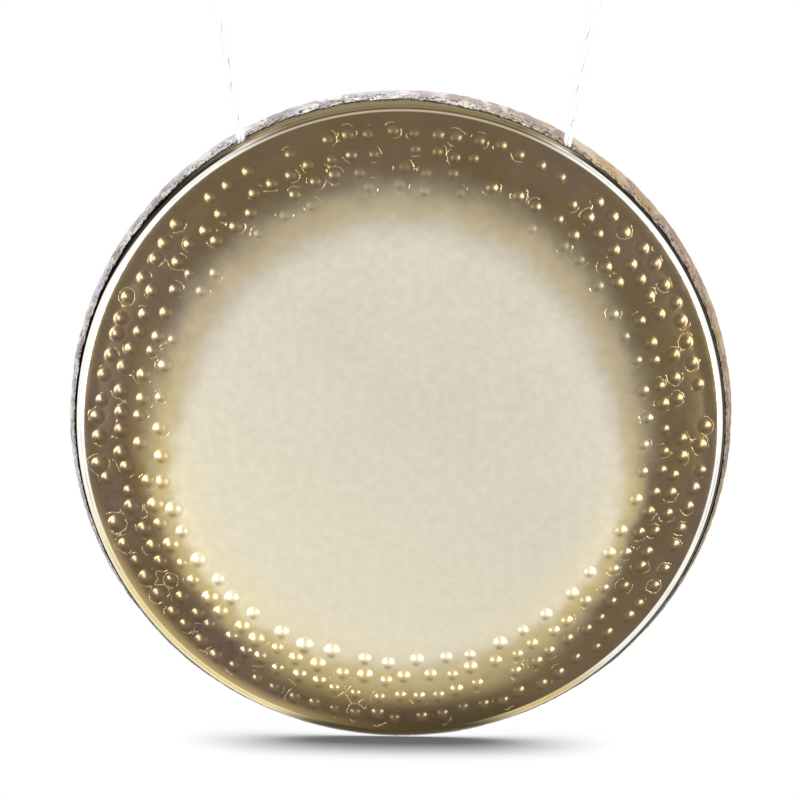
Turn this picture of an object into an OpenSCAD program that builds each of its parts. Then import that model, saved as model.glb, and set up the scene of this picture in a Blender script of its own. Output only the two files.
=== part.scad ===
// Hammered bronze tam tam, hung from a crossbar by two doubled cords on S-hooks.
// Millimetres, +Z up. The origin lies on the crossbar's axis, halfway between the hooks.
// +X runs along the crossbar and the gong's face looks towards -Y.

/* [Gong] */
// Outside diameter, over the rear edge of the rim
gong_d = 600; // [480:5:730]
// Diameter of the flat middle of the face
flat_d = 410; // [300:5:450]
// How far the face falls back between its flat middle and the bend
dish_drop = 9; // [4:0.5:14]
// Front of the face to the rear edge of the rim
rim_depth = 40; // [33:1:60]
// How much the rear edge of the rim stands out past the start of the bend
rim_out = 15; // [11:0.5:18]
// Outside radius of the bend between face and rim
bend_r = 8; // [6:0.5:10]
// Thickness of the bronze sheet
sheet_t = 2.3; // [1.5:0.1:4]

/* [Hanging holes] */
// Angle of each hole from the top of the gong
hole_angle = 29.5; // [20:0.5:38]
// Front of the face to the middle of each hole, along the gong's axis
hole_back = 21; // [19:0.5:28]
// Width of the hole beyond what the doubled cord needs to pass through it aslant
hole_clearance = 1.2; // [0.8:0.1:2]

/* [Cords] */
// Diameter of the cord
cord_d = 3.5; // [2.5:0.1:3.7]
// Width of the knot inside the rim
knot_w = 15; // [12:0.5:18]
// Height of the knot
knot_h = 11; // [8:0.5:12]
// Length of each cord tail under the knot
tail_len = 20; // [12:1:40]
// Gap between the knot and the edge of its hole
knot_gap = 0.3; // [0.2:0.1:1]

/* [Hooks] */
// Diameter of the crossbar that the hooks hang on
bar_d = 25; // [16:1:35]
// Difference between the hooks' upper bend and the crossbar
bar_clearance = 0.5; // [0.2:0.1:2]
// Distance between the two hooks
hook_spacing = 340; // [260:1:420]
// Width of the half-round bar that the hooks are bent from
stock_w = 10; // [8:0.5:10]
// Thickness of the half-round bar
stock_t = 6; // [5:0.5:7.5]
// Inside radius of the lower bend, at the crest of the bar
saddle_r = 8; // [7.5:0.5:14]
// Height between the centres of the two bends
hook_drop = 60; // [50:1:100]
// How far round each bend goes, in degrees
bend_turn = 215; // [190:1:230]

/* [Hidden] */
$fn = 96;
LEFT = -1;
RIGHT = 1;
CORD_SIDES = 8;

// The gong's outline is worked out as [radius, depth behind the front of the face].
flat_r = flat_d / 2;
bend_start_r = gong_d / 2 - rim_out;
dish_run = bend_start_r - flat_r;
dish_r = (dish_run * dish_run + dish_drop * dish_drop) / (2 * dish_drop);
dish_turn = asin(dish_run / dish_r);
dish_centre = [flat_r, dish_r];
bend_centre = [bend_start_r - bend_r * sin(dish_turn), dish_drop + bend_r * cos(dish_turn)];
// The rim is the straight line from the rear edge that just touches the bend.
to_edge = [gong_d / 2, rim_depth] - bend_centre;
rim_turn = atan2(to_edge[1], to_edge[0]) + asin(bend_r / norm(to_edge));
rim_run = sqrt(to_edge * to_edge - bend_r * bend_r);

function arc(centre, r, from, to, steps) = [
    for (i = [0 : steps])
        let (a = from + (to - from) * i / steps)
            centre + r * [sin(a), -cos(a)]
];
// The line that lies `inside` under the front surface: face, dish, bend and rim.
function sheet_line(inside) = concat(
    [[0, inside]],
    arc(dish_centre, dish_r - inside, 0, dish_turn, 10),
    arc(bend_centre, bend_r - inside, dish_turn, rim_turn, 10),
    [rim_point(rim_run, inside)]
);
function rim_point(along, inside) = bend_centre
    + (bend_r - inside) * [sin(rim_turn), -cos(rim_turn)]
    + along * [cos(rim_turn), sin(rim_turn)];
function backwards(list) = [for (i = [len(list) - 1 : -1 : 0]) list[i]];
function total(list, i = 0) = i == len(list) ? 0 : list[i] + total(list, i + 1);

// The holes lie where the rim's outside is hole_back deep, and their middle is in mid-sheet.
hole_along = (hole_back - rim_point(0, 0)[1]) / sin(rim_turn);
hole_at = rim_point(hole_along, sheet_t / 2);
hole_x = hole_at[0] * sin(hole_angle);
hole_up = hole_at[0] * cos(hole_angle);

// The gong hangs with its centre of mass under the holes, so it leans a little forwards.
mid_line = sheet_line(sheet_t / 2);
sheet_area = total([
    for (i = [1 : len(mid_line) - 1])
        norm(mid_line[i] - mid_line[i - 1]) * (mid_line[i][0] + mid_line[i - 1][0]) / 2
]);
sheet_moment = total([
    for (i = [1 : len(mid_line) - 1])
        norm(mid_line[i] - mid_line[i - 1]) * (mid_line[i][0] + mid_line[i - 1][0]) / 2
            * (mid_line[i][1] + mid_line[i - 1][1]) / 2
]);
mass_back = sheet_moment / sheet_area;
hang_lean = atan((hole_at[1] - mass_back) / hole_up);

// One strand of the cord, from the hole up to the top of the hook: [sideways, backwards, up].
// The other strand is this one turned half round, so the two wind once about each other.
STRAND = [
    [2, 0, 1.5], [2, 0, 10], [1.6, 1.2, 20], [0.6, 1.9, 30], [-0.6, 1.9, 40], [-1.6, 1.2, 50],
    [-2, 0, 60], [-1.6, -1.2, 70], [-0.6, -1.9, 80], [0.6, -1.9, 90], [1.6, -1.2, 100], [2, 0, 110],
    [2.4, 0, 120], [3.6, 0, 130], [5.4, 0, 139], [6.9, 0, 147], [7.3, 0, 152],
    [6.3, 0, 155.7], [3.7, 0, 158.3], [0, 0, 159.3]
];
// Hole to the middle of the half-round bar that the cord turns over
CORD_RUN = 152;
strand_top = len(STRAND) - 1;
other_strand = [for (i = [strand_top - 1 : -1 : 0]) [-STRAND[i][0], -STRAND[i][1], STRAND[i][2]]];
cord_route = concat(STRAND, other_strand);
hook_seat_r = (bar_d + bar_clearance) / 2;
saddle_flat_r = saddle_r + stock_t;
shank_slope = asin((hook_seat_r + saddle_flat_r) / hook_drop);
shank_len = sqrt(pow(hook_drop, 2) - pow(hook_seat_r + saddle_flat_r, 2));
cord_turn_z = -(hook_drop + saddle_r + stock_w / 2);
cord_spread = asin((hook_spacing / 2 - hole_x) / CORD_RUN);
pivot_z = cord_turn_z - CORD_RUN * cos(cord_spread);
// The cord leaves its hole at this angle to the hole's axis, which widens what it needs.
hole_slant = abs(hole_angle - cord_spread);
cord_pair_r = STRAND[0][0] + cord_d / 2;
hole_d = 2 * (cord_pair_r + sheet_t / 2 * sin(hole_slant)) / cos(hole_slant) + hole_clearance;
// How far the cord's lower end reaches under the middle of the sheet, square to the sheet.
knot_tilt = 90 - rim_turn + hang_lean;
cord_across = sin(hole_slant) * cos(knot_tilt);
cord_reach = STRAND[0][0] * cord_across + cord_d / 2 * norm([cord_across, sin(knot_tilt)])
    - STRAND[0][2] * cos(hole_slant) * cos(knot_tilt);

// Turns the gong's own frame, with its face up and its top towards +Y, to where it hangs.
module hung() {
    translate([0, 0, pivot_z])
        rotate([hang_lean, 0, 0])
            translate([0, -hole_at[1], -hole_up])
                rotate([90, 0, 0])
                    children();
}

// Places children on a hole of the gong's own frame, with +Z out along the gong's radius.
module at_hole(side) {
    rotate([0, 0, -side * hole_angle])
        translate([0, hole_at[0], -hole_at[1]])
            rotate([-90, 0, 0])
                children();
}

module gong() {
    outline = concat(sheet_line(0), backwards(sheet_line(sheet_t)));
    color("#b8a67c")
        hung()
            difference() {
                rotate_extrude($fn = 180)
                    polygon([for (p = outline) [p[0], -p[1]]]);
                for (side = [LEFT, RIGHT])
                    at_hole(side)
                        cylinder(d = hole_d, h = 4 * sheet_t, center = true);
            }
}

function unit(v) = v / norm(v);
function tangent(path, i) = unit(path[min(i + 1, len(path) - 1)] - path[max(i - 1, 0)]);
// A ring of points round point i of a path that never runs along Y.
function ring(path, i, r) = let (
    t = tangent(path, i),
    across = unit([0, 1, 0] - t[1] * t),
    other = cross(t, across)
) [
    for (k = [0 : CORD_SIDES - 1])
        let (a = 360 * k / CORD_SIDES)
            path[i] + r * (cos(a) * across + sin(a) * other)
];

module tube(path, r) {
    last = len(path) - 1;
    polyhedron(
        points = [for (i = [0 : last]) each ring(path, i, r)],
        faces = concat(
            [[for (k = [0 : CORD_SIDES - 1]) k]],
            [
                for (i = [0 : last - 1], k = [0 : CORD_SIDES - 1])
                    let (
                        a = i * CORD_SIDES + k,
                        b = i * CORD_SIDES + (k + 1) % CORD_SIDES
                    )
                        [a, a + CORD_SIDES, b + CORD_SIDES, b]
            ],
            [[for (k = [CORD_SIDES - 1 : -1 : 0]) last * CORD_SIDES + k]]
        )
    );
}

module cord(side) {
    color("#f2f2ef")
        translate([side * hole_x, 0, pivot_z])
            rotate([0, side * cord_spread, 0])
                tube(cord_route, cord_d / 2);
}

// Depth of the knot's middle when its round shoulder lies knot_gap from a ring of radius r
function knot_depth(ring_depth, r) = let (shoulder_r = (knot_w - knot_h) / 2)
    ring_depth + sqrt(pow(knot_h / 2 + knot_gap, 2) - pow(r - shoulder_r, 2));

// The knot bears on the inner edge of its hole, or lies lower where the cord's end reaches down
// to it, and its two tails hang down behind the face.
module knot(side) {
    knot_edge_r = knot_h / 2;
    shoulder = [knot_w / 2 - knot_edge_r, 0];
    knot_in = max(knot_depth(sheet_t / 2, hole_d / 2), knot_depth(cord_reach, cord_pair_r));
    color("#f2f2ef")
        hung()
            at_hole(side)
                rotate([90 - rim_turn, 0, 0])
                    translate([0, 0, -knot_in]) {
                        rotate_extrude($fn = 48)
                            polygon(concat(
                                [[0, -knot_edge_r]],
                                arc(shoulder, knot_edge_r, 0, 180, 12),
                                [[0, knot_edge_r]]
                            ));
                        rotate([rim_turn, 0, 0])
                            rotate([0, 0, side * hole_angle])
                                for (splay = [-12, 12])
                                    rotate([90, 0, splay])
                                        cylinder(d = cord_d, h = knot_edge_r + tail_len, $fn = 24);
                    }
}

// Half-round section with its flat side at x = 0 and its crest at x = stock_t
module stock_section() {
    round_r = stock_w / 2;
    round_at = stock_t - round_r;
    polygon(concat(
        [[0, -round_r]],
        [
            for (a = [-90 : 15 : 90])
                [round_at + round_r * cos(a), round_r * sin(a)]
        ],
        [[0, round_r]]
    ));
}

// The flat side bears on the crossbar, and the round side carries the cord.
module hook(side) {
    color("#c9ccd0")
        translate([side * hook_spacing / 2, 0, 0])
            rotate([90, 0, 90])
                rotate([0, 0, -shank_slope]) {
                    rotate_extrude(angle = bend_turn)
                        translate([hook_seat_r, 0])
                            stock_section();
                    translate([hook_seat_r, 0, 0])
                        rotate([90, 0, 0])
                            linear_extrude(shank_len)
                                stock_section();
                    translate([hook_seat_r + saddle_flat_r, -shank_len, 0])
                        rotate([0, 0, 180])
                            rotate_extrude(angle = bend_turn)
                                translate([saddle_flat_r, 0])
                                    mirror([1, 0])
                                        stock_section();
                }
}

module left_cord() {
    cord(LEFT);
}

module right_cord() {
    cord(RIGHT);
}

module left_knot() {
    knot(LEFT);
}

module right_knot() {
    knot(RIGHT);
}

module left_hook() {
    hook(LEFT);
}

module right_hook() {
    hook(RIGHT);
}

gong();
left_cord();
right_cord();
left_knot();
right_knot();
left_hook();
right_hook();
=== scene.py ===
"""Hammered bronze tam tam, hung from a crossbar by two doubled cords on S-hooks.

Metres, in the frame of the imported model: +Z up, the gong's face towards -Y and the origin on the
crossbar's axis. The gong is built in its own frame, with +Z out of its face and +Y towards its top,
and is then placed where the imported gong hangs.
"""

import math
import random
from types import SimpleNamespace

import bmesh
import bpy
import numpy as np
from mathutils import Matrix, Vector, noise


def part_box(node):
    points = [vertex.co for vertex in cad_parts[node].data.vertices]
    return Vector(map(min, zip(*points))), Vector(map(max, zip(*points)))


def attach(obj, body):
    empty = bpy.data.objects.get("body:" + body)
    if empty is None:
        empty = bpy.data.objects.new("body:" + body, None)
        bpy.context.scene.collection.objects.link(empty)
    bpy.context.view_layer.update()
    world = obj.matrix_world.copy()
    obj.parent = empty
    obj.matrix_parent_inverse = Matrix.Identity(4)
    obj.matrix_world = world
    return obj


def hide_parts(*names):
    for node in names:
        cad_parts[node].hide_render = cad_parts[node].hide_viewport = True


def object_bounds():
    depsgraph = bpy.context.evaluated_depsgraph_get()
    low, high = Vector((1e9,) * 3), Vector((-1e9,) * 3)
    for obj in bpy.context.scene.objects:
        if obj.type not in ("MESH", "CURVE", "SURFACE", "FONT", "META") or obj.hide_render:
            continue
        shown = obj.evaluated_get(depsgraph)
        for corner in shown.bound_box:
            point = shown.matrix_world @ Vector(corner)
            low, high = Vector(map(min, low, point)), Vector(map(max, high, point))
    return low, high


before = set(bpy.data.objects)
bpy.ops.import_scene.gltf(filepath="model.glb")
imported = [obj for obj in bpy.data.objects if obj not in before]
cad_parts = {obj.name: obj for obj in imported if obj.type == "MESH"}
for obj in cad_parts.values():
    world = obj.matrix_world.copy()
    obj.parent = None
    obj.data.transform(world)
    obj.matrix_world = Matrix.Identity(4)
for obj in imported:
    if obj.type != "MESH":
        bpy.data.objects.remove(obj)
cad_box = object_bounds()

SIDES = {"left": -1, "right": 1}

# The gong's outline
FLAT_R = 0.205
DISH_DROP = 0.009
RIM_DEPTH = 0.040
RIM_OUT = 0.015
BEND_R = 0.008
SHEET_T = 0.0023
HOLE_ANGLE = math.radians(29.5)
HOLE_BACK = 0.021
HOLE_D = 0.00998

# Cord and knots
CORD_D = 0.0035
CORD_RUN = 0.152
# One strand from the hole to the top of its loop in the hook's saddle, in millimetres: across, back
# and up.
STRAND = [
    (2, 0, 1.5), (2, 0, 10), (1.6, 1.2, 20), (0.6, 1.9, 30), (-0.6, 1.9, 40), (-1.6, 1.2, 50),
    (-2, 0, 60), (-1.6, -1.2, 70), (-0.6, -1.9, 80), (0.6, -1.9, 90), (1.6, -1.2, 100), (2, 0, 110),
    (2.4, 0, 120), (3.6, 0, 130), (5.4, 0, 139), (6.9, 0, 147), (7.3, 0, 152),
    (6.3, 0, 155.7), (3.7, 0, 158.3), (0, 0, 159.3),
]

# Hooks
HOOK_SEAT_R = 0.01275
SADDLE_R = 0.008
STOCK_W = 0.010
STOCK_T = 0.006
HOOK_DROP = 0.060
BEND_TURN = math.radians(215)


# --- The gong's frame and outline -----------------------------------------------------------------


def gong_frame():
    """The gong's own frame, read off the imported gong: its largest triangle lies on the flat face."""
    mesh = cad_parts["gong"].data
    flat = max(mesh.polygons, key=lambda polygon: polygon.area)
    out = flat.normal if flat.normal.y < 0 else -flat.normal
    across = Vector((1, 0, 0))
    turn = Matrix((across, out.cross(across), out)).transposed()
    points = [turn.transposed() @ vertex.co for vertex in mesh.vertices]
    low = Vector([min(point[i] for point in points) for i in range(3)])
    high = Vector([max(point[i] for point in points) for i in range(3)])
    middle = (low + high) / 2
    middle.z = high.z
    return Matrix.Translation(turn @ middle) @ turn.to_4x4(), high.x - middle.x


HUNG, GONG_R = gong_frame()

bend_start_r = GONG_R - RIM_OUT
dish_run = bend_start_r - FLAT_R
dish_r = (dish_run**2 + DISH_DROP**2) / (2 * DISH_DROP)
dish_turn = math.asin(dish_run / dish_r)
bend_centre = Vector((
    bend_start_r - BEND_R * math.sin(dish_turn),
    DISH_DROP + BEND_R * math.cos(dish_turn),
))
to_edge = Vector((GONG_R, RIM_DEPTH)) - bend_centre
rim_turn = math.atan2(to_edge.y, to_edge.x) + math.asin(BEND_R / to_edge.length)
rim_run = math.sqrt(to_edge.length_squared - BEND_R**2)


def evenly(start, end, steps):
    """Even values from start to end, both included."""
    return [start + (end - start) * i / steps for i in range(steps + 1)]


def on_arc(centre, radius, angle):
    return Vector((centre[0] + radius * math.sin(angle), centre[1] - radius * math.cos(angle)))


def rim_point(along, inside):
    start = on_arc(bend_centre, BEND_R - inside, rim_turn)
    return start + along * Vector((math.cos(rim_turn), math.sin(rim_turn)))


hole_along = (HOLE_BACK - rim_point(0, 0).y) / math.sin(rim_turn)
hole_at = rim_point(hole_along, SHEET_T / 2)


def hole_frame(side):
    """The frame of one hole: +Z out along the gong's radius, +Y backwards."""
    return (
        HUNG
        @ Matrix.Rotation(-side * HOLE_ANGLE, 4, "Z")
        @ Matrix.Translation((0, hole_at.x, -hole_at.y))
        @ Matrix.Rotation(-math.pi / 2, 4, "X")
    )


def middle_of(node):
    low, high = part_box(node)
    return (low + high) / 2


# --- Small helpers --------------------------------------------------------------------------------


def colour(code):
    """A linear colour from a written one, such as 8a7352."""
    written = [int(code[i : i + 2], 16) / 255 for i in (0, 2, 4)]
    linear = [c / 12.92 if c <= 0.04045 else ((c + 0.055) / 1.055) ** 2.4 for c in written]
    return (*linear, 1.0)


def new_object(name, data):
    made = bpy.data.objects.new(name, data)
    bpy.context.scene.collection.objects.link(made)
    return made


def new_node(tree, kind, inputs=None, **settings):
    """A node with its settings. An input takes a number, a colour or another node's output."""
    made = tree.nodes.new(kind)
    for name, value in settings.items():
        setattr(made, name, value)
    for name, value in (inputs or {}).items():
        if isinstance(value, bpy.types.NodeSocket):
            tree.links.new(value, made.inputs[name])
        else:
            made.inputs[name].default_value = value
    return made


def math_node(tree, operation, first, second=0.0):
    inputs = {0: first, 1: second}
    return new_node(tree, "ShaderNodeMath", inputs, operation=operation).outputs[0]


def plus(tree, first, second):
    return math_node(tree, "ADD", first, second)


def times(tree, first, second):
    return math_node(tree, "MULTIPLY", first, second)


def ramp(tree, value, start, end, low=0.0, high=1.0):
    """Goes smoothly from low to high as value goes from start to end."""
    inputs = {"Value": value, "From Min": start, "From Max": end, "To Min": low, "To Max": high}
    made = new_node(tree, "ShaderNodeMapRange", inputs, interpolation_type="SMOOTHSTEP")
    return made.outputs["Result"]


def mix(tree, share, first, second):
    """A mix of two colours."""
    made = new_node(tree, "ShaderNodeMix", data_type="RGBA")
    for socket, value in zip((made.inputs[0], made.inputs[6], made.inputs[7]), (share, first, second)):
        if isinstance(value, bpy.types.NodeSocket):
            tree.links.new(value, socket)
        else:
            socket.default_value = value
    return made.outputs[2]


def noise_mask(tree, vector, scale, detail=3.0, roughness=0.5, distortion=0.0):
    inputs = {
        "Vector": vector,
        "Scale": scale,
        "Detail": detail,
        "Roughness": roughness,
        "Distortion": distortion,
    }
    return new_node(tree, "ShaderNodeTexNoise", inputs).outputs["Fac"]


def attribute(tree, name):
    return new_node(tree, "ShaderNodeAttribute", attribute_name=name).outputs["Fac"]


def new_material(name, **constants):
    """A material with a Principled shader, whose constant inputs are set on the shader itself."""
    made = bpy.data.materials.new(name)
    made.use_nodes = True
    tree = made.node_tree
    shader = tree.nodes["Principled BSDF"]
    for key, value in constants.items():
        shader.inputs[key.replace("_", " ")].default_value = value
    return made, tree, shader


def facing(tree, flat, direction, start, end):
    """Rises from 0 to 1 as a place on the face lies further that way from the middle."""
    inputs = {0: flat, 1: direction}
    made = new_node(tree, "ShaderNodeVectorMath", inputs, operation="DOT_PRODUCT")
    return ramp(tree, made.outputs["Value"], start, end)


def feed(tree, shader, **sockets):
    for key, value in sockets.items():
        tree.links.new(value, shader.inputs[key.replace("_", " ")])


def gong_coordinates(tree):
    """Object coordinates turned and centred to the gong's own frame."""
    place = new_node(tree, "ShaderNodeTexCoord").outputs["Object"]
    inverse = HUNG.inverted()
    inputs = {
        "Vector": place,
        "Location": inverse.to_translation(),
        "Rotation": inverse.to_euler("XYZ"),
    }
    return new_node(tree, "ShaderNodeMapping", inputs, vector_type="POINT").outputs["Vector"]


# --- Shader node groups ---------------------------------------------------------------------------


def new_group(name, inputs, outputs):
    """A node group with named float, vector or colour sockets, and its two ends."""
    group = bpy.data.node_groups.new(name, "ShaderNodeTree")
    for label, kind in inputs.items():
        group.interface.new_socket(label, in_out="INPUT", socket_type="NodeSocket" + kind)
    for label, kind in outputs.items():
        group.interface.new_socket(label, in_out="OUTPUT", socket_type="NodeSocket" + kind)
    return group, group.nodes.new("NodeGroupInput").outputs, group.nodes.new("NodeGroupOutput").inputs


def blotches():
    """Soft uneven patches, as heat and handling leave them, and a finer cloud inside them."""
    group, given, wanted = new_group(
        "blotches", {"Vector": "Vector", "Scale": "Float"}, {"Patches": "Float", "Cloud": "Float"}
    )
    broad = noise_mask(group, given["Vector"], given["Scale"], detail=4.0, distortion=0.6)
    fine_scale = times(group, given["Scale"], 4.5)
    fine = noise_mask(group, given["Vector"], fine_scale, detail=5.0, roughness=0.6)
    group.links.new(ramp(group, broad, 0.36, 0.64), wanted["Patches"])
    group.links.new(ramp(group, fine, 0.3, 0.7), wanted["Cloud"])
    return group


def grain():
    """A fine uneven surface: its height, and how much it dulls the shine."""
    group, given, wanted = new_group(
        "grain", {"Vector": "Vector", "Scale": "Float"}, {"Height": "Float", "Dulling": "Float"}
    )
    pits = noise_mask(group, given["Vector"], given["Scale"], detail=6.0, roughness=0.65)
    wide_scale = times(group, given["Scale"], 0.15)
    wide = noise_mask(group, given["Vector"], wide_scale, detail=2.0)
    group.links.new(pits, wanted["Height"])
    group.links.new(times(group, pits, wide), wanted["Dulling"])
    return group


def use_group(tree, group, **inputs):
    made = new_node(tree, "ShaderNodeGroup", node_tree=group)
    for key, value in inputs.items():
        if isinstance(value, bpy.types.NodeSocket):
            tree.links.new(value, made.inputs[key])
        else:
            made.inputs[key].default_value = value
    return made.outputs


BLOTCHES = blotches()
GRAIN = grain()


def bump(tree, height, distance, strength=1.0, below=None):
    inputs = {"Height": height, "Distance": distance, "Strength": strength}
    if below is not None:
        inputs["Normal"] = below
    return new_node(tree, "ShaderNodeBump", inputs).outputs["Normal"]


# --- Materials ------------------------------------------------------------------------------------


# Places on the face as directions from its middle, with the distances over which each one fades in.
LOW_LEFT = ((-0.74, -0.67, 0), 0.04, 0.26)
LOW_RIGHT = ((0.80, -0.60, 0), 0.10, 0.28)
BOTTOM_LEFT = ((-0.60, -0.80, 0), 0.20, 0.28)
# The pale middle, polished and partly painted reflection, is centred this far below the gong's
# own centre.
PALE_MIDDLE_DROP = 0.009


def face_places(tree):
    """The places and patches that the parts of the face's material share."""
    place = gong_coordinates(tree)
    split = new_node(tree, "ShaderNodeSeparateXYZ", {0: place}).outputs
    flat = new_node(tree, "ShaderNodeCombineXYZ", {"X": split["X"], "Y": split["Y"]}).outputs[0]
    low_left = facing(tree, flat, *LOW_LEFT)
    return SimpleNamespace(
        place=place,
        flat=flat,
        height=split["Y"],
        radius=new_node(tree, "ShaderNodeVectorMath", {0: flat}, operation="LENGTH").outputs["Value"],
        patches=use_group(tree, BLOTCHES, Vector=place, Scale=9.0),
        spots=use_group(tree, BLOTCHES, Vector=place, Scale=26.0),
        low_left=low_left,
        low=math_node(tree, "MAXIMUM", low_left, facing(tree, flat, *LOW_RIGHT)),
        bottom_left=facing(tree, flat, *BOTTOM_LEFT),
    )


def pale_middle_reach(tree, at):
    """How far a place lies from the centre of the pale middle, a little uneven."""
    inputs = {0: at.flat, 1: (0, PALE_MIDDLE_DROP, 0)}
    polished = new_node(tree, "ShaderNodeVectorMath", inputs, operation="ADD").outputs["Vector"]
    reach = new_node(tree, "ShaderNodeVectorMath", {0: polished}, operation="LENGTH").outputs["Value"]
    return plus(tree, reach, times(tree, at.patches["Cloud"], 0.006))


def darkening(tree, at, reach):
    """Rises from 0 on the pale middle to 1 on the dark band. The way between them is longest at the
    top and shortest at the lower left and right. The change is partly the bronze's own colour and
    partly painted reflection."""
    upper = ramp(tree, at.height, -0.16, 0.12)
    lower = facing(tree, at.flat, (0.1, -1.0, 0), 0.13, 0.24)
    inner = ramp(tree, upper, 0.0, 1.0, 0.212, 0.172)
    inner = math_node(tree, "SUBTRACT", inner, times(tree, lower, 0.014))
    outer = ramp(tree, upper, 0.0, 1.0, 0.248, 0.256)
    outer = plus(tree, outer, times(tree, lower, 0.011))
    right_shift = times(tree, facing(tree, at.flat, (1.0, 0.1, 0), 0.12, 0.24), 0.011)
    left_shift = times(tree, facing(tree, at.flat, (-1.0, 0, 0), 0.12, 0.24), 0.004)
    return ramp(tree, plus(tree, reach, plus(tree, right_shift, left_shift)), inner, outer)


def pale_middle(tree, at, reach):
    shade = mix(tree, at.patches["Patches"], colour("ccc5b4"), colour("d0c9b9"))
    # Painted reflection: the middle is painted a little lighter towards the bottom and the lower left,
    # and a cream glow is painted by its lower left and right edges.
    shade = mix(tree, ramp(tree, at.height, 0.10, -0.22), shade, colour("d1c9b6"))
    low_middle = facing(tree, at.flat, (-0.62, -0.78, 0), -0.02, 0.20)
    shade = mix(tree, low_middle, shade, colour("d9d1bb"))
    painted_glow = times(tree, at.low, ramp(tree, reach, 0.165, 0.222))
    return mix(tree, times(tree, painted_glow, 0.9), shade, colour("e2d5ad"))


def dark_band(tree, at):
    """Brown bronze, purple and golden towards the lower left, and golden again at the bottom."""
    shade = mix(tree, at.patches["Patches"], colour("67583e"), colour("6a5a4a"))
    shade = mix(tree, times(tree, at.spots["Patches"], 0.3), shade, colour("766748"))
    purple = times(tree, ramp(tree, at.spots["Cloud"], 0.45, 0.9), at.low_left)
    shade = mix(tree, times(tree, purple, 0.6), shade, colour("5f4a42"))
    gold = times(tree, at.low_left, ramp(tree, at.radius, 0.252, 0.230))
    shade = mix(tree, times(tree, gold, 0.45), shade, colour("a5884c"))
    edge_gold = times(tree, at.bottom_left, ramp(tree, at.radius, 0.273, 0.284))
    shade = mix(tree, times(tree, edge_gold, 0.8), shade, colour("bfa673"))
    bottom = facing(tree, at.flat, (0.05, -1.0, 0), 0.20, 0.25)
    low_gold = times(tree, bottom, ramp(tree, at.radius, 0.268, 0.248))
    return mix(tree, times(tree, low_gold, 0.6), shade, colour("a8925a"))


def face_ground(tree, at, reach, dark_share):
    """The face without its pearls: the middle, the band and a warm halo where they meet, partly the
    bronze's own colours and partly painted reflection.
    """
    shade = mix(tree, dark_share, pale_middle(tree, at, reach), dark_band(tree, at))
    halo = times(tree, ramp(tree, dark_share, 0.05, 0.45), ramp(tree, dark_share, 0.95, 0.45))
    warmth = ramp(tree, at.low, 0.0, 1.0, 0.35, 0.70)
    return mix(tree, times(tree, halo, warmth), shade, colour("c2ad74"))


def pearl_shade(tree, at, shade, pearl, under):
    """Pearls are rubbed bright on top. Painted shade darkens a crescent under each pearl and the band's
    outer edge at the bottom.
    """
    # Painted shade: the band is painted dark at its bottom edge, where it mirrors the shaded floor.
    below = times(tree, facing(tree, at.flat, (0.1, -1.0, 0), 0.25, 0.285), 0.80)
    shade = mix(tree, below, shade, colour("463b24"))
    # Painted shade: a dark crescent under each pearl.
    shade = mix(tree, times(tree, under, 0.6), shade, colour("3a2c1b"))
    return mix(tree, times(tree, pearl, 0.14), shade, colour("b09a6c"))


def hammer_arcs(tree, at, dark_share):
    """Thin bright arcs, left by the edge of the hammer, run round some of the pearls."""
    bent = noise_mask(tree, at.place, 75.0, detail=3.0, distortion=0.5)
    gap = plus(tree, attribute(tree, "gap"), times(tree, bent, 1.6))
    arc = math_node(tree, "ABSOLUTE", math_node(tree, "SUBTRACT", gap, 2.35))
    where = ramp(tree, noise_mask(tree, at.place, 58.0, detail=1.0), 0.56, 0.62)
    return times(tree, ramp(tree, arc, 0.12, 0.03), times(tree, where, dark_share))


def bend_painted_reflection(tree, at):
    """The bend is polished, and its colour is painted reflection: a painted highlight of bright cream,
    less wide at the right and the top, gold at the lower left, with painted shade outside it and at
    the bottom. At the very top only its inner edge is bright, and the rest is painted dark like the rim."""
    top = ramp(tree, at.height, 0.235, 0.272)
    # Painted highlight: the bend's white cream and gold stand in for the bright things it mirrors.
    polish = mix(tree, at.bottom_left, colour("fffcf4"), colour("f0dfa8"))
    low_ring = facing(tree, at.flat, (0.35, -0.94, 0), 0.262, 0.283)
    polish = mix(tree, low_ring, polish, colour("d8c48c"))
    to_right = facing(tree, at.flat, (1, 0, 0), 0.10, 0.25)
    to_top = facing(tree, at.flat, (0, 1, 0), 0.08, 0.20)
    narrow = math_node(tree, "MAXIMUM", to_right, to_top)
    ring_r = ramp(tree, narrow, 0.0, 1.0, bend_start_r + 0.0056, bend_start_r + 0.0032)
    beyond = ramp(tree, math_node(tree, "SUBTRACT", at.radius, ring_r), 0.0, 0.0009)
    # Painted shade: the bend is painted dark outside its bright ring.
    polish = mix(tree, beyond, polish, colour("2a2216"))
    polish = mix(tree, top, polish, colour("c9b7a2"))
    # Painted reflection: at the top the bend is painted dark, as it mirrors a darker ceiling.
    painted_dark_top = times(tree, top, ramp(tree, at.radius, bend_start_r, bend_start_r + 0.0016))
    polish = mix(tree, painted_dark_top, polish, colour("5d5339"))
    # Painted shade: the bend is painted dark at the bottom, where it mirrors the shaded floor.
    return mix(tree, ramp(tree, at.height, -0.262, -0.280), polish, colour("4e4229"))


def scored_line(tree, at):
    """A thin line round the bend, faint in places."""
    line = math_node(tree, "SUBTRACT", at.radius, bend_start_r + 0.0016)
    line = ramp(tree, math_node(tree, "ABSOLUTE", line), 0.0005, 0.0002)
    return times(tree, times(tree, line, at.patches["Cloud"]), 0.6)


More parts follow.
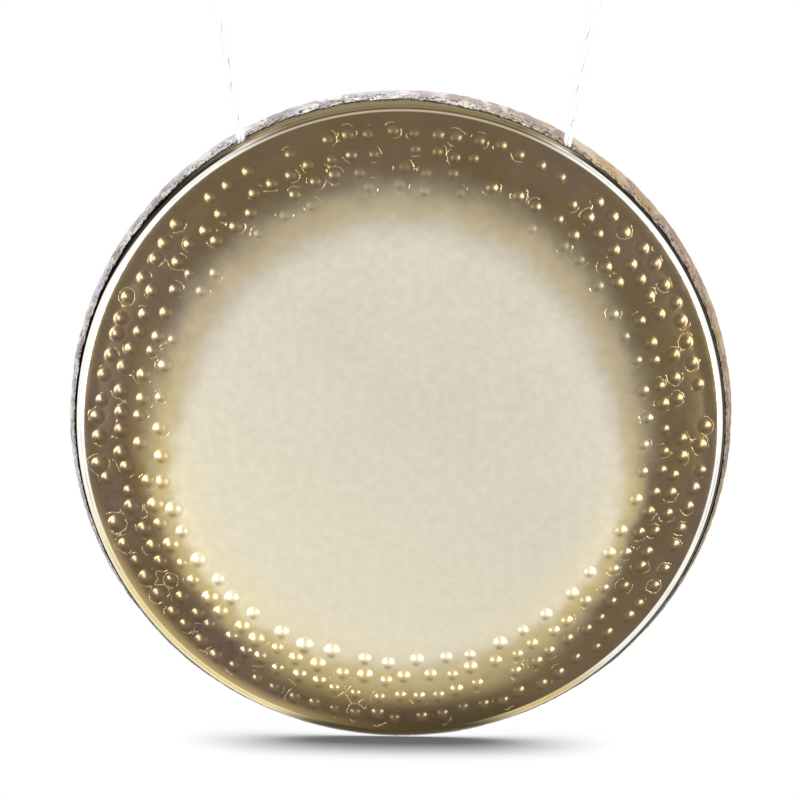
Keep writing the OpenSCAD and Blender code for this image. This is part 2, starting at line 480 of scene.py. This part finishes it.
def bronze_face():
    """The front: a pale satin middle that darkens softly into a glossy band with bright pearls.
    The pale middle and the dark band are partly the bronze's own colours and partly painted
    reflection of bright walls in the flat middle and darker ones in the tilted band.
    """
    made, tree, shader = new_material("bronze_face", Metallic=1.0)
    at = face_places(tree)
    fine = use_group(tree, GRAIN, Vector=at.place, Scale=700.0)
    pearl = attribute(tree, "pearl")
    under = attribute(tree, "under")
    reach = pale_middle_reach(tree, at)
    dark_share = darkening(tree, at, reach)
    arc = hammer_arcs(tree, at, dark_share)
    bend = ramp(tree, at.radius, bend_start_r - 0.0016, bend_start_r - 0.0002)

    shade = face_ground(tree, at, reach, dark_share)
    shade = pearl_shade(tree, at, shade, pearl, under)
    shade = mix(tree, times(tree, arc, 0.6), shade, colour("c4ad7c"))
    # The bend's colour is painted highlight, painted reflection and painted shade.
    shade = mix(tree, bend, shade, bend_painted_reflection(tree, at))
    shade = mix(tree, scored_line(tree, at), shade, colour("6a5a3c"))

    rough = ramp(tree, dark_share, 0.0, 1.0, 0.32, 0.20)
    rough = plus(tree, rough, times(tree, at.spots["Cloud"], 0.06))
    rough = math_node(tree, "SUBTRACT", rough, times(tree, bend, 0.12))
    rough = plus(tree, rough, times(tree, under, 0.15))
    rough = plus(tree, rough, times(tree, pearl, 0.12))

    normal = bump(tree, arc, 0.0003, 0.7)
    normal = bump(tree, fine["Height"], 0.00003, 0.25, normal)
    feed(tree, shader, Base_Color=shade, Roughness=rough, Normal=normal)
    return made


def scale_edge(tree, place, patches, flakes):
    """Passes 0.5 where the scale starts: unevenly, and nearer to the bend at the upper right."""
    edge = plus(tree, attribute(tree, "rim"), times(tree, patches["Cloud"], 0.10))
    edge = plus(tree, edge, times(tree, flakes["Patches"], 0.07))
    upper_right = facing(tree, place, (0.77, 0.64, 0), 0.15, 0.28)
    return plus(tree, edge, ramp(tree, upper_right, 0.0, 1.0, 0.14, 0.34))


def hammer_scale(tree, split, patches, flakes, edge):
    """Grey scale with pale flakes and dark pits. It is tan at the right, and painted shade darkens it
    at the bottom.
    """
    right = ramp(tree, split["X"], -0.05, 0.20)
    grey = mix(tree, patches["Patches"], colour("c3bfc4"), colour("a39a97"))
    tan = mix(tree, patches["Patches"], colour("a48f6c"), colour("8a7b7d"))
    tan = mix(tree, ramp(tree, flakes["Cloud"], 0.6, 0.95), tan, colour("b8945a"))
    scale = mix(tree, right, grey, tan)
    pale = mix(tree, right, colour("d6d1cc"), colour("b0a18a"))
    scale = mix(tree, ramp(tree, flakes["Patches"], 0.55, 1.0), scale, pale)
    pits = ramp(tree, flakes["Cloud"], 0.42, 0.25)
    marks = times(tree, pits, ramp(tree, edge, 1.15, 0.7))
    scale = mix(tree, times(tree, marks, 0.85), scale, colour("2a211a"))
    # Painted shade: the scale is painted dark at the bottom.
    return mix(tree, ramp(tree, split["Y"], -0.20, -0.27), scale, colour("3a342b"))


def bronze_rim():
    """The outside of the rim: smooth by the bend, grey hammer scale by the rear edge. The smooth part's
    near black and the dark line before the scale are painted shade, and its lighter top is painted
    reflection.
    """
    made, tree, shader = new_material("bronze_rim", Specular_IOR_Level=0.0)
    place = gong_coordinates(tree)
    split = new_node(tree, "ShaderNodeSeparateXYZ", {0: place}).outputs
    patches = use_group(tree, BLOTCHES, Vector=place, Scale=30.0)
    flakes = use_group(tree, BLOTCHES, Vector=place, Scale=75.0)
    fine = use_group(tree, GRAIN, Vector=place, Scale=420.0)
    edge = scale_edge(tree, place, patches, flakes)
    rough_zone = ramp(tree, edge, 0.48, 0.54)
    top = ramp(tree, split["Y"], 0.20, 0.27)

    # Painted shade: the smooth part is painted near black, and painted reflection lightens it at the
    # top.
    smooth = mix(tree, patches["Patches"], colour("1d170e"), colour("0f0c08"))
    smooth = mix(tree, top, smooth, colour("70664c"))
    shade = mix(tree, rough_zone, smooth, hammer_scale(tree, split, patches, flakes, edge))
    # Painted shade: a dark line where the smooth part meets the scale.
    line = times(tree, ramp(tree, edge, 0.40, 0.47), ramp(tree, edge, 0.58, 0.51))
    shade = mix(tree, times(tree, line, 0.9), shade, colour("120d08"))

    rough = ramp(tree, rough_zone, 0.0, 1.0, 0.25, 0.60)
    rough = plus(tree, rough, times(tree, fine["Dulling"], 0.3))
    metal = plus(tree, times(tree, top, 0.4), ramp(tree, rough_zone, 0.0, 1.0, 0.0, 0.50))
    height = plus(tree, fine["Height"], times(tree, flakes["Patches"], 1.5))
    normal = bump(tree, times(tree, height, rough_zone), 0.0006, 0.8)
    feed(tree, shader, Base_Color=shade, Roughness=rough, Metallic=metal, Normal=normal)
    return made


def bronze_back():
    """The inside: brown patina over the hammered sheet, rubbed brighter in the dents."""
    made, tree, shader = new_material("bronze_back", Metallic=0.9)
    place = gong_coordinates(tree)
    patches = use_group(tree, BLOTCHES, Vector=place, Scale=12.0)
    fine = use_group(tree, GRAIN, Vector=place, Scale=500.0)
    shade = mix(tree, patches["Patches"], colour("6f5c3d"), colour("836b43"))
    shade = mix(tree, times(tree, patches["Cloud"], 0.5), shade, colour("594a33"))
    shade = mix(tree, times(tree, attribute(tree, "pearl"), 0.6), shade, colour("b59b62"))
    # Painted shade: a dark crescent under each pearl.
    shade = mix(tree, times(tree, attribute(tree, "under"), 0.5), shade, colour("3a2f20"))
    rough = ramp(tree, patches["Cloud"], 0.0, 1.0, 0.3, 0.42)
    normal = bump(tree, fine["Height"], 0.0001, 0.5)
    feed(tree, shader, Base_Color=shade, Roughness=rough, Normal=normal)
    return made


def white_cord():
    """Soft white braid, a little dusty between its plies."""
    made, tree, shader = new_material(
        "white_cord", Roughness=0.8, Sheen_Weight=0.25, Sheen_Roughness=0.5
    )
    place = new_node(tree, "ShaderNodeTexCoord").outputs["Object"]
    patches = use_group(tree, BLOTCHES, Vector=place, Scale=60.0)
    fine = use_group(tree, GRAIN, Vector=place, Scale=1800.0)
    shade = mix(tree, patches["Patches"], colour("fafafa"), colour("f3f3f6"))
    shade = mix(tree, times(tree, fine["Dulling"], 0.3), shade, colour("e0e0e8"))
    feed(tree, shader, Base_Color=shade, Normal=bump(tree, fine["Height"], 0.0002, 0.6))
    return made


def brushed_steel():
    """Bright drawn steel with fine marks and slightly duller patches."""
    made, tree, shader = new_material("brushed_steel", Metallic=1.0)
    place = new_node(tree, "ShaderNodeTexCoord").outputs["Object"]
    patches = use_group(tree, BLOTCHES, Vector=place, Scale=45.0)
    stretched = new_node(
        tree, "ShaderNodeMapping", {"Vector": place, "Scale": (6.0, 1.0, 1.0)}
    ).outputs["Vector"]
    fine = use_group(tree, GRAIN, Vector=stretched, Scale=900.0)
    shade = mix(tree, patches["Cloud"], colour("9b9da1"), colour("85888d"))
    rough = ramp(tree, patches["Patches"], 0, 1, 0.24, 0.36)
    normal = bump(tree, fine["Height"], 0.00006, 0.6)
    feed(tree, shader, Base_Color=shade, Roughness=rough, Normal=normal)
    return made


MATERIALS = {
    "face": bronze_face(),
    "rim": bronze_rim(),
    "back": bronze_back(),
    "cord": white_cord(),
    "steel": brushed_steel(),
}


# --- Camera ---------------------------------------------------------------------------------------


def add_camera():
    """Looks at the gong from the front and a little above, through a long lens."""
    distance, elevation, roll = 3.0, math.radians(9.0), math.radians(0.73)
    lens = bpy.data.cameras.new("camera")
    lens.lens = 151.3
    lens.clip_end = 60.0
    camera = new_object("camera", lens)
    aim = HUNG.to_translation() + Vector((-0.0009, 0, 0.0262))
    back = Vector((0, -math.cos(elevation), math.sin(elevation)))
    turn = (-back).to_track_quat("-Z", "Y").to_matrix().to_4x4()
    camera.matrix_world = (
        Matrix.Translation(aim + distance * back) @ turn @ Matrix.Rotation(roll, 4, "Z")
    )
    bpy.context.scene.camera = camera


# --- Cords and knots ------------------------------------------------------------------------------


def smooth_path(points, step):
    """Points at an even step along the smooth curve through the given ones."""
    ends = [2 * points[0] - points[1], *points, 2 * points[-1] - points[-2]]
    fine = []
    for a, b, c, d in zip(ends, ends[1:], ends[2:], ends[3:]):
        for i in range(12):
            t = i / 12
            fine.append(
                0.5 * (2 * b + (c - a) * t + (2 * a - 5 * b + 4 * c - d) * t**2
                       + (3 * b - a - 3 * c + d) * t**3)
            )
    fine.append(points[-1])
    lengths = np.cumsum([0.0] + [(q - p).length for p, q in zip(fine, fine[1:])])
    steps = max(2, round(lengths[-1] / step))
    even = np.linspace(0, lengths[-1], steps + 1)
    columns = [np.interp(even, lengths, [p[i] for p in fine]) for i in range(3)]
    return [Vector(point) for point in zip(*columns)], lengths[-1]


def ply_section(diameter):
    """The three-lobed section of a laid cord, swept along it by a curve."""
    curve = bpy.data.curves.new("cord_section", "CURVE")
    spline = curve.splines.new("POLY")
    count = 18
    spline.points.add(count - 1)
    for i, point in enumerate(spline.points):
        angle = math.tau * i / count
        radius = diameter / 2 * (1.02 + 0.03 * math.cos(3 * angle))
        point.co = (radius * math.cos(angle), radius * math.sin(angle), 0, 1)
    spline.use_cyclic_u = True
    made = new_object("cord_section", curve)
    made.hide_render = True
    made.hide_viewport = True
    return made


def rope(name, routes, section, lay_length=0.016, step=0.0008):
    """A curve of one spline for each route, whose section turns once in each lay length."""
    curve = bpy.data.curves.new(name, "CURVE")
    curve.dimensions = "3D"
    curve.bevel_mode = "OBJECT"
    curve.bevel_object = section
    curve.use_fill_caps = True
    curve.twist_mode = "MINIMUM"
    lengths = []
    for route in routes:
        points, length = smooth_path(route, step)
        lengths.append(length)
        spline = curve.splines.new("POLY")
        spline.points.add(len(points) - 1)
        turn = math.tau * length / (len(points) - 1) / lay_length
        for i, point in enumerate(points):
            spline.points[i].co = (*point, 1)
            spline.points[i].tilt = i * turn
    curve.materials.append(MATERIALS["cord"])
    return new_object(name, curve), lengths


def strand_route(name, side):
    """Up from the hole, over the hook's saddle and down again beside itself, and where it starts."""
    exit_at = hole_frame(side).to_translation()
    hook_x = abs(middle_of(f"{name}_hook").x)
    spread = math.asin((hook_x - abs(exit_at.x)) / CORD_RUN)
    place = Matrix.Translation(exit_at) @ Matrix.Rotation(side * spread, 4, "Y")
    up = [Vector(point) / 1000 for point in STRAND]
    down = [Vector((-p.x, -p.y, p.z)) for p in reversed(up[:-1])]
    return [place @ point for point in up + down], exit_at


def add_cord(name, side, section):
    route, exit_at = strand_route(name, side)
    cord, lengths = rope(f"{name}_hanging_cord", [route], section)
    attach(cord, "cords")
    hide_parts(f"{name}_cord")
    return cord, exit_at, lengths[0]


# The knot's middle lies this far inside the hole.
KNOT_DROP = 0.0061
KNOT_SIZE = Vector((0.00175, 0.0017, 0.0015))
# Half the distance between the two strands in the hole.
NECK_OUT = 0.0019
# The knot's turns lie this far from the hole's axis, towards the rim's rear edge.
TURNS_BACK = 0.0012
TAIL_SPLAY = math.radians(12)


def knot_neck(mirrored):
    """One strand from the hole to the start of the knot."""
    across = mirrored * NECK_OUT
    return [
        Vector((across, 0, 0.0016)),
        Vector((across, 0, -0.001)),
        Vector((1.6 * across, -0.0035 * mirrored, -0.0045)),
    ]


def knot_turns(mirrored, steps=30):
    """One strand's way through the knot, which is most of a trefoil."""
    turns = []
    for i in range(steps + 1):
        angle = math.pi * (1.12 + 1.76 * i / steps)
        x = KNOT_SIZE.x * (math.sin(angle) + 2 * math.sin(2 * angle))
        y = -KNOT_SIZE.y * math.sin(3 * angle) + TURNS_BACK * mirrored
        z = KNOT_SIZE.z * (math.cos(angle) - 2 * math.cos(2 * angle))
        turns.append(Vector((mirrored * x, mirrored * y, z - KNOT_DROP)))
    return turns


def knot_tail(start, down, mirrored):
    """One strand's loose end, hanging down and a little outwards from the knot."""
    fall = Matrix.Rotation(mirrored * TAIL_SPLAY, 3, "Y") @ down
    return [
        start + fall * 0.006,
        start + fall * 0.013 + Vector((0, 0.001, 0)),
        start + fall * 0.0175,
    ]


def add_knot(name, side, section):
    """The stopper knot inside the rim, with two necks up through the hole and two tails."""
    place = hole_frame(side) @ Matrix.Rotation(math.pi / 2 - rim_turn, 4, "X")
    down = (place.to_3x3().inverted() @ HUNG.to_3x3() @ Vector((0, -1, 0))).normalized()
    routes = []
    for mirrored in (-1, 1):
        turns = knot_turns(mirrored)
        route = knot_neck(mirrored) + turns + knot_tail(turns[-1], down, mirrored)
        routes.append([place @ point for point in route])
    knot, _ = rope(f"{name}_cord_knot", routes, section)
    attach(knot, "gong")
    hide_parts(f"{name}_knot")
    return knot


def add_cords():
    section = ply_section(CORD_D)
    for name, side in SIDES.items():
        cord, exit_at, length = add_cord(name, side, section)
        knot = add_knot(name, side, section)


# --- The gong -------------------------------------------------------------------------------------

SEGMENTS = 840
EDGE_WAVE = 0.0010
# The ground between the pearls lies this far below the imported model's face.
BAND_SINK = 0.0010


def outline():
    """Points round the gong's half section as (radius, depth, rim, skin). Rim goes from 0 at the
    bend to 1 at the rear edge, and skin is 1 on the inside."""
    front = [Vector((r, 0)) for r in (0.0, 0.05, 0.1, 0.145, 0.175, 0.192)]
    dish_centre = (FLAT_R, dish_r)
    # The pearls need close rings, and the first ones lie on the flat middle's last 8 mm.
    for turn in evenly(-0.008 / dish_r, dish_turn, 48)[:-1]:
        bent = max(turn, 0)
        front.append(on_arc(dish_centre, dish_r, bent) + Vector((dish_r * (turn - bent), 0)))
    front += [on_arc(bend_centre, BEND_R, turn) for turn in evenly(dish_turn, rim_turn, 7)]
    points = [(p.x, p.y, 0.0, 0.0) for p in front]
    points += [(*rim_point(rim_run * share, 0), share, 0.0) for share in evenly(0, 1, 13)[1:-1]]
    round_off = 0.0005
    points.append((*rim_point(rim_run - round_off, 0), 1.0, 0.0))
    points.append((*rim_point(rim_run, round_off), 1.0, 0.0))
    points.append((*rim_point(rim_run, SHEET_T - round_off), 1.0, 1.0))
    points.append((*rim_point(rim_run - round_off, SHEET_T), 1.0, 1.0))
    points += [(*rim_point(rim_run * share, SHEET_T), share, 1.0) for share in evenly(1, 0, 7)[1:-1]]
    inner_bend = [on_arc(bend_centre, BEND_R - SHEET_T, turn) for turn in evenly(rim_turn, dish_turn, 4)]
    inner_dish = [on_arc(dish_centre, dish_r - SHEET_T, turn) for turn in evenly(dish_turn, 0, 20)]
    points += [(*point, 0.0, 1.0) for point in inner_bend[:-1] + inner_dish]
    points += [(r, SHEET_T, 0.0, 1.0) for r in (0.19, 0.16, 0.11, 0.055, 0.0)]
    return points


def band_sink(radius):
    """How far the band's ground is beaten in, so that its pearls stay under the face's outline."""
    rise = np.clip((radius - FLAT_R + 0.006) / 0.022, 0, 1)
    fall = np.clip((bend_start_r - 0.002 - radius) / 0.012, 0, 1)
    return BAND_SINK * rise**2 * (3 - 2 * rise) * fall**2 * (3 - 2 * fall)


def room_above(x, y):
    """How far a pearl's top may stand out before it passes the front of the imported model."""
    radius = math.hypot(x, y)
    depth = (radius - FLAT_R) ** 2 / (2 * dish_r) + float(band_sink(np.array(radius)))
    return (HUNG @ Vector((x, y, -depth))).y - cad_box[0].y


# Radius of each row of pearls and the distance from pearl to pearl.
PEARL_ROWS = [(0.2180, 0.0260), (0.2335, 0.0200), (0.2500, 0.0185), (0.2700, 0.0195)]
# Direction from the middle in which the pearls are the largest.
LARGEST_AT = math.radians(235)


def scatter_pearls():
    """Middles, radii and heights of the pearls that are hammered up round the band. They are
    steeper towards the bottom, and more of them are left out towards the top."""
    draw = random.Random(11)
    inner_row, outer_row = 0, len(PEARL_ROWS) - 1
    pearls = []
    for row, (row_r, spacing) in enumerate(PEARL_ROWS):
        count = round(math.tau * row_r / spacing)
        shift = draw.random()
        for i in range(count):
            angle = math.tau * (i + shift + draw.uniform(-0.16, 0.16)) / count
            lower_left = max(0.0, math.cos(angle - LARGEST_AT))
            upper = max(0.0, math.sin(angle))
            radius = row_r + draw.uniform(-0.0028, 0.0028) - 0.003 * upper * (row == outer_row)
            size = draw.uniform(0.0043, 0.0054) + 0.0022 * lower_left * draw.random()
            steeper = 1 + 0.45 * max(0.0, -math.sin(angle))
            height = size * draw.uniform(0.30, 0.34) * steeper
            if row == inner_row:
                height *= 1 - 0.5 * upper
            x, y = radius * math.cos(angle), radius * math.sin(angle)
            height = min(height, 0.95 * room_above(x, y))
            crowded = any(math.hypot(x - a, y - b) < 0.8 * (size + c) for a, b, c, _ in pearls)
            left_out = draw.random() < 0.14 * upper + 0.03
            if not crowded and not left_out:
                pearls.append((x, y, size, height))
    return pearls


def hammer(points):
    """How far each point of the band moves out of the face, and the masks of the pearls, of the
    shade under them and of the gap to the next pearl in pearl radii."""
    lift, pearl, under = (np.zeros(len(points)) for _ in range(3))
    gap = np.full(len(points), 3.0)
    # How softly a pearl's foot runs out into the ground.
    foot = 0.16
    for x, y, size, height in scatter_pearls():
        near = np.abs(points[:, 0] - x) < 2.5 * size
        near &= np.abs(points[:, 1] - y) < 2.5 * size
        at = np.flatnonzero(near)
        reach = np.hypot(points[at, 0] - x, points[at, 1] - y) / size
        cap = foot * np.log1p(np.exp((1 - reach**2) / foot))
        ring = np.exp(-(((reach - 1.25) / 0.22) ** 2))
        lift[at] += height * (cap - 0.07 * ring)
        pearl[at] = np.maximum(pearl[at], np.clip(1 - reach**2, 0, 1))
        # Mask for painted shade: a dark crescent on each pearl's lower side.
        low = np.hypot(points[at, 0] - x + 0.12 * size, points[at, 1] - y + 0.45 * size) / size
        beneath = np.clip(-0.1 - (points[at, 1] - y) / size, 0, 0.7) / 0.7
        crescent = np.exp(-((low / 0.55) ** 4)) * beneath
        under[at] = np.maximum(under[at], crescent)
        gap[at] = np.minimum(gap[at], reach)
    return lift, pearl, under, gap


def wave(points, scale, seed):
    """Smooth noise, about -1 to 1, at each point."""
    return np.array([noise.noise(Vector(p) * scale + Vector((seed, 0, 0))) for p in points])


def spun_sheet():
    """The plain sheet: its half section spun round the gong's axis, with its masks as attributes."""
    mesh = bmesh.new()
    rim = mesh.verts.layers.float.new("rim")
    skin = mesh.verts.layers.float.new("skin")
    section = []
    for radius, depth, share, side in outline():
        vertex = mesh.verts.new((radius, 0, -depth))
        vertex[rim] = share
        vertex[skin] = side
        section.append(vertex)
    edges = [mesh.edges.new(pair) for pair in zip(section, section[1:])]
    bmesh.ops.spin(
        mesh, geom=section + edges, cent=(0, 0, 0), axis=(0, 0, 1), angle=math.tau,
        steps=SEGMENTS, use_merge=True, use_duplicate=False,
    )
    bmesh.ops.remove_doubles(mesh, verts=mesh.verts, dist=1e-6)
    bmesh.ops.recalc_face_normals(mesh, faces=mesh.faces)
    data = bpy.data.meshes.new("gong_sheet")
    mesh.to_mesh(data)
    mesh.free()
    return data


def read_floats(data, name):
    values = np.zeros(len(data.vertices), np.float32)
    data.attributes[name].data.foreach_get("value", values)
    return values.astype(float)


def write_floats(data, name, values):
    made = data.attributes.get(name) or data.attributes.new(name, "FLOAT", "POINT")
    made.data.foreach_set("value", values.astype(np.float32))


def rim_beating(points, radius, rim, skin):
    """How far the rim's points move outwards: its edge wanders inwards, and its outside is beaten
    into shallow facets."""
    outward = points[:, :2] / np.maximum(radius, 1e-9)[:, None]
    around = np.column_stack([outward * bend_start_r, np.zeros(len(points))])
    ripple = 0.5 + 0.5 * wave(around, 26.0, 1.0) + 0.35 * np.abs(wave(around, 60.0, 5.0))
    inward = EDGE_WAVE * np.clip(ripple, 0, 1) * rim**1.5
    beaten = np.abs(wave(points, 110.0, 9.0)) * 0.0009 * np.clip((rim - 0.4) / 0.2, 0, 1) * (skin == 0)
    return -outward * (inward + beaten)[:, None]


def share_materials(data, rim, skin):
    """Gives the sheet's faces to the materials of the face, the rim and the back."""
    for key in ("face", "rim", "back"):
        data.materials.append(MATERIALS[key])
    for polygon in data.polygons:
        corners = list(polygon.vertices)
        if skin[corners].mean() > 0.5:
            polygon.material_index = 2
        elif rim[corners].max() > 0:
            polygon.material_index = 1


def hammered_sheet():
    """The sheet with its pearls, the sunk band round them, its unevenness and its beaten rim."""
    data = spun_sheet()
    points = np.zeros(len(data.vertices) * 3, np.float32)
    data.vertices.foreach_get("co", points)
    points = points.reshape(-1, 3).astype(float)
    rim, skin = read_floats(data, "rim"), read_floats(data, "skin")
    radius = np.hypot(points[:, 0], points[:, 1])
    face = (rim == 0) & (radius < bend_start_r - 0.004)

    lift, pearl, under, gap = hammer(points)
    lift, pearl, under = (values * face for values in (lift, pearl, under))
    points[:, 2] -= band_sink(radius) * (rim == 0)
    band = np.clip((radius - 0.19) / 0.03, 0, 1) * face
    uneven = wave(points, 45.0, 3.0) * 0.00022 * band + wave(points, 9.0, 7.0) * 0.00012 * face
    points[:, 2] += lift + uneven
    points[:, :2] += rim_beating(points, radius, rim, skin)

    data.vertices.foreach_set("co", points.astype(np.float32).ravel())
    write_floats(data, "pearl", pearl)
    write_floats(data, "under", under)
    write_floats(data, "gap", gap)
    share_materials(data, rim, skin)
    data.update()
    return data


def cutter(side):
    """A rod as wide as a hanging hole, across the rim."""
    mesh = bmesh.new()
    bmesh.ops.create_cone(
        mesh, cap_ends=True, segments=40, radius1=HOLE_D / 2, radius2=HOLE_D / 2, depth=5 * SHEET_T
    )
    mesh.transform(HUNG.inverted() @ hole_frame(side))
    data = bpy.data.meshes.new("cutter")
    mesh.to_mesh(data)
    mesh.free()
    return new_object("cutter", data)


def finished_mesh(piece):
    """The piece's mesh with its modifiers applied."""
    graph = bpy.context.evaluated_depsgraph_get()
    return bpy.data.meshes.new_from_object(piece.evaluated_get(graph))


def add_gong():
    gong = new_object("hammered_gong", hammered_sheet())
    rods = [cutter(side) for side in SIDES.values()]
    for rod in rods:
        drill = gong.modifiers.new("drill", "BOOLEAN")
        drill.operation = "DIFFERENCE"
        drill.solver = "EXACT"
        drill.object = rod
    drilled = finished_mesh(gong)
    gong.modifiers.clear()
    for rod in rods:
        bpy.data.objects.remove(rod)
    gong.data = drilled
    drilled.shade_smooth()
    drilled.set_sharp_from_angle(angle=math.radians(50))
    drilled.transform(HUNG)
    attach(gong, "gong")
    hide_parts("gong")


# --- Hooks ----------------------------------------------------------------------------------------


def stock_outline():
    """The half-round bar's section: flat side at 0 with softened corners, crest at its thickness."""
    half = STOCK_W / 2
    soft = 0.0008
    crest = [
        (STOCK_T - half + half * math.cos(a), half * math.sin(a))
        for a in evenly(-math.pi / 2, math.pi / 2, 16)
    ]
    corner = [
        (soft - soft * math.sin(a), half - soft + soft * math.cos(a))
        for a in evenly(math.pi / 8, math.pi / 2, 3)
    ]
    return crest + corner + [(x, -y) for x, y in reversed(corner)]


def add_hook(name):
    """One S-hook, bent in the YZ plane from its upper tip to its lower one."""
    across = middle_of(f"{name}_hook").x
    saddle_flat_r = SADDLE_R + STOCK_T
    slope = math.asin((HOOK_SEAT_R + saddle_flat_r) / HOOK_DROP)
    shank = math.sqrt(HOOK_DROP**2 - (HOOK_SEAT_R + saddle_flat_r) ** 2)
    mesh = bmesh.new()
    # The hook's own frame: X towards the shank's side, Y up and Z across the bar.
    section = [mesh.verts.new((HOOK_SEAT_R + x, 0, y)) for x, y in stock_outline()]
    tip = mesh.faces.new(section)
    bmesh.ops.rotate(mesh, verts=section, cent=(0, 0, 0), matrix=Matrix.Rotation(BEND_TURN, 3, "Z"))
    bend = bmesh.ops.spin(
        mesh, geom=[tip], cent=(0, 0, 0), axis=(0, 0, 1), angle=-BEND_TURN, steps=36
    )
    last = [g for g in bend["geom_last"] if isinstance(g, bmesh.types.BMFace)]
    straight = bmesh.ops.extrude_face_region(mesh, geom=last)
    bmesh.ops.delete(mesh, geom=last, context="FACES_ONLY")
    moved = [g for g in straight["geom"] if isinstance(g, bmesh.types.BMVert)]
    bmesh.ops.translate(mesh, verts=moved, vec=(0, -shank, 0))
    last = [g for g in straight["geom"] if isinstance(g, bmesh.types.BMFace)]
    centre = (HOOK_SEAT_R + saddle_flat_r, -shank, 0)
    bmesh.ops.spin(mesh, geom=last, cent=centre, axis=(0, 0, 1), angle=BEND_TURN, steps=30)
    bmesh.ops.remove_doubles(mesh, verts=mesh.verts, dist=1e-6)
    bmesh.ops.recalc_face_normals(mesh, faces=mesh.faces)
    caps = [edge for face in mesh.faces if len(face.verts) > 4 for edge in face.edges]
    bmesh.ops.bevel(
        mesh, geom=caps, offset=0.0012, segments=3, profile=0.5, affect="EDGES", material=-1
    )
    mesh.transform(
        Matrix.Translation((across, 0, 0))
        @ Matrix(((0, 0, 1, 0), (1, 0, 0, 0), (0, 1, 0, 0), (0, 0, 0, 1)))
        @ Matrix.Rotation(-slope, 4, "Z")
    )
    data = bpy.data.meshes.new(f"{name}_s_hook")
    mesh.to_mesh(data)
    mesh.free()
    data.materials.append(MATERIALS["steel"])
    data.shade_smooth()
    data.set_sharp_from_angle(angle=math.radians(50))
    hook = new_object(f"{name}_s_hook", data)
    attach(hook, "hooks")
    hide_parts(f"{name}_hook")


# --- Floor, light and world -----------------------------------------------------------------------


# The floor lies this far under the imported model.
FLOOR_GAP = 0.0003
# How near the gong has to be to darken the floor.
SHADOW_REACH = 0.065


def add_floor():
    """A white floor just under the gong, darker where the gong hangs close over it."""
    made, tree, shader = new_material("floor", Roughness=0.9, Specular_IOR_Level=0.0)
    shader.inputs["Base Color"].default_value = (0.10, 0.10, 0.102, 1)
    open_sky = new_node(
        tree, "ShaderNodeAmbientOcclusion", {"Distance": SHADOW_REACH}, samples=24
    ).outputs["AO"]
    path = new_node(tree, "ShaderNodeLightPath").outputs
    seen = math_node(tree, "MAXIMUM", path["Is Camera Ray"], path["Is Glossy Ray"])
    white = new_node(tree, "ShaderNodeEmission", {"Color": (1, 1, 1, 1)})
    share = times(tree, seen, ramp(tree, open_sky, 0.30, 1.0, 0.12, 1.0))
    blend = new_node(
        tree, "ShaderNodeMixShader", {0: share, 1: shader.outputs[0], 2: white.outputs[0]}
    )
    tree.links.new(blend.outputs[0], tree.nodes["Material Output"].inputs["Surface"])
    mesh = bmesh.new()
    bmesh.ops.create_circle(mesh, cap_ends=True, segments=96, radius=12.0)
    bmesh.ops.translate(mesh, verts=mesh.verts, vec=(0, 0, cad_box[0].z - FLOOR_GAP))
    data = bpy.data.meshes.new("floor")
    mesh.to_mesh(data)
    mesh.free()
    data.materials.append(made)
    floor = new_object("floor", data)
    floor.visible_glossy = False
    floor.visible_shadow = False


def softbox(name, azimuth, elevation, distance, width, height, power):
    """A rectangular lamp aimed at the middle of the gong. Azimuth 0 is in front of its face."""
    lamp = bpy.data.lights.new(name, "AREA")
    lamp.shape = "RECTANGLE"
    lamp.size, lamp.size_y = width, height
    lamp.energy = power
    made = new_object(name, lamp)
    a, e = math.radians(azimuth), math.radians(elevation)
    away = Vector((math.sin(a) * math.cos(e), -math.cos(a) * math.cos(e), math.sin(e)))
    turn = (-away).to_track_quat("-Z", "Y").to_matrix().to_4x4()
    made.matrix_world = Matrix.Translation(HUNG.to_translation() + distance * away) @ turn
    made.visible_camera = False


# Each lamp's azimuth and elevation in degrees, distance, width, height and power.
LAMPS = {
    "key_left": (-47, 2, 2.6, 0.75, 1.4, 52),
    "key_right": (47, 2, 2.6, 0.75, 1.4, 52),
    "back_fill": (150, 25, 2.6, 1.2, 1.2, 14),
    "overhead": (180, 90, 1.5, 2.2, 2.2, 22),
}


def add_light():
    for name, setting in LAMPS.items():
        softbox(name, *setting)
    world = bpy.data.worlds.new("studio")
    world.use_nodes = True
    bpy.context.scene.world = world
    tree = world.node_tree
    path = new_node(tree, "ShaderNodeLightPath").outputs
    way = new_node(tree, "ShaderNodeTexCoord").outputs["Generated"]
    height = new_node(tree, "ShaderNodeSeparateXYZ", {0: way}).outputs["Z"]
    # Metal sees white walls all round and a darker ceiling.
    ceiling = ramp(tree, height, 0.40, 0.90, 1.0, 0.75)
    seen = plus(tree, path["Is Camera Ray"], times(tree, path["Is Glossy Ray"], ceiling))
    either = plus(tree, path["Is Camera Ray"], path["Is Glossy Ray"])
    fill = ramp(tree, either, 0.0, 1.0, 0.40, 0.0)
    background = tree.nodes["Background"]
    background.inputs["Color"].default_value = (1, 1, 1, 1)
    tree.links.new(plus(tree, seen, fill), background.inputs["Strength"])
    bpy.context.scene.view_settings.view_transform = "Standard"


add_camera()
add_cords()
add_gong()
for hook_name in SIDES:
    add_hook(hook_name)
add_floor()
add_light()
